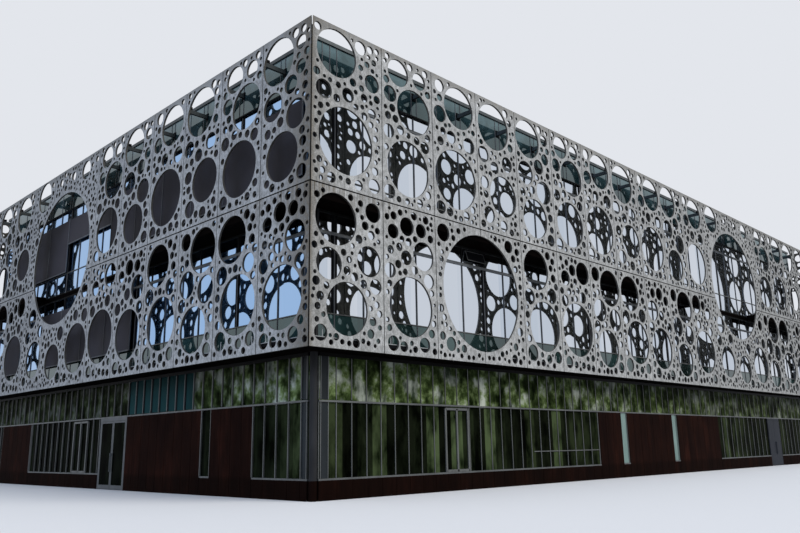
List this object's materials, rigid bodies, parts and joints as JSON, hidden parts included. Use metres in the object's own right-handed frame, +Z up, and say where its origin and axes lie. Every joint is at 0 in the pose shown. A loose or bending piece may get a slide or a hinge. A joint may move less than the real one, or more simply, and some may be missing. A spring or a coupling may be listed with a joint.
{
  "type": "university building, scale model at 1:20",
  "caption": "Three-storey university building at 1:20: glass box on a brown base, wrapped in a concrete screen pierced with round holes, with two hinged double doors.",
  "frame": {"origin": "middle of the plan, on the ground", "axes": "+X along the long front, +Y from the front to the back, +Z up"},
  "size_m": [2.457, 1.625, 0.798],
  "materials": {
    "screen_concrete": "matt precast concrete",
    "dark_steel": "satin dark paint",
    "floor_concrete": "matt, painted dark below",
    "parapet_metal": "satin",
    "glass": "clear, reflecting",
    "aluminium_rail": "satin anodised",
    "brown_cladding": "satin standing seam",
    "aluminium_door": "satin anodised",
    "grey_door": "satin paint"
  },
  "bodies": {
    "building": {"back_brackets": "dark_steel", "back_brown_wall": "brown_cladding", "back_ground_glass": "glass", "back_parapet": "parapet_metal", "back_screen_lower": "screen_concrete", "back_screen_upper": "screen_concrete", "back_upper_glass": "glass", "base_corners": "brown_cladding", "corner_columns": "dark_steel", "far_brackets": "dark_steel", "far_brown_wall": "brown_cladding", "far_ground_glass": "glass", "far_parapet": "parapet_metal", "far_screen_lower": "screen_concrete", "far_screen_upper": "screen_concrete", "far_upper_glass": "glass", "first_floor": "floor_concrete", "front_base_wall": "brown_cladding", "front_brackets": "dark_steel", "front_brown_wall": "brown_cladding", "front_door_frame": "grey_door", "front_gallery_deck": "floor_concrete", "front_ground_glass": "glass", "front_ground_rails": "aluminium_rail", "front_parapet": "parapet_metal", "front_screen_great": "screen_concrete", "front_screen_lower": "screen_concrete", "front_screen_round": "screen_concrete", "front_screen_upper": "screen_concrete", "front_upper_glass": "glass", "ground_floor": "floor_concrete", "roof_slab": "floor_concrete", "second_floor": "floor_concrete", "side_base_wall": "brown_cladding", "side_brackets": "dark_steel", "side_brown_wall": "brown_cladding", "side_door_frame": "aluminium_door", "side_gallery_deck": "floor_concrete", "side_ground_glass": "glass", "side_ground_rails": "aluminium_rail", "side_parapet": "parapet_metal", "side_screen_great": "screen_concrete", "side_screen_lower": "screen_concrete", "side_screen_upper": "screen_concrete", "side_upper_glass": "glass"},
    "side_near_leaf": {"side_door_near_leaf": "aluminium_door", "side_door_near_leaf_pane": "glass"},
    "side_far_leaf": {"side_door_far_leaf": "aluminium_door", "side_door_far_leaf_pane": "glass"},
    "front_near_leaf": {"front_door_near_leaf": "grey_door"},
    "front_far_leaf": {"front_door_far_leaf": "grey_door"}
  },
  "joints": [
    {"name": "side_near_leaf_hinge", "type": "hinge", "parent": "building", "child": "side_near_leaf", "pos_m": [-1.1785, -0.1195, 0.075], "axis": [0, 0, 1], "range_deg": [0, 90]},
    {"name": "side_far_leaf_hinge", "type": "hinge", "parent": "building", "child": "side_far_leaf", "pos_m": [-1.1785, -0.0005, 0.075], "axis": [0, 0, -1], "range_deg": [0, 90]},
    {"name": "front_near_leaf_hinge", "type": "hinge", "parent": "building", "child": "front_near_leaf", "pos_m": [0.76185, -0.7625, 0.075], "axis": [0, 0, -1], "range_deg": [0, 90]},
    {"name": "front_far_leaf_hinge", "type": "hinge", "parent": "building", "child": "front_far_leaf", "pos_m": [0.85585, -0.7625, 0.075], "axis": [0, 0, 1], "range_deg": [0, 90]}
  ]
}
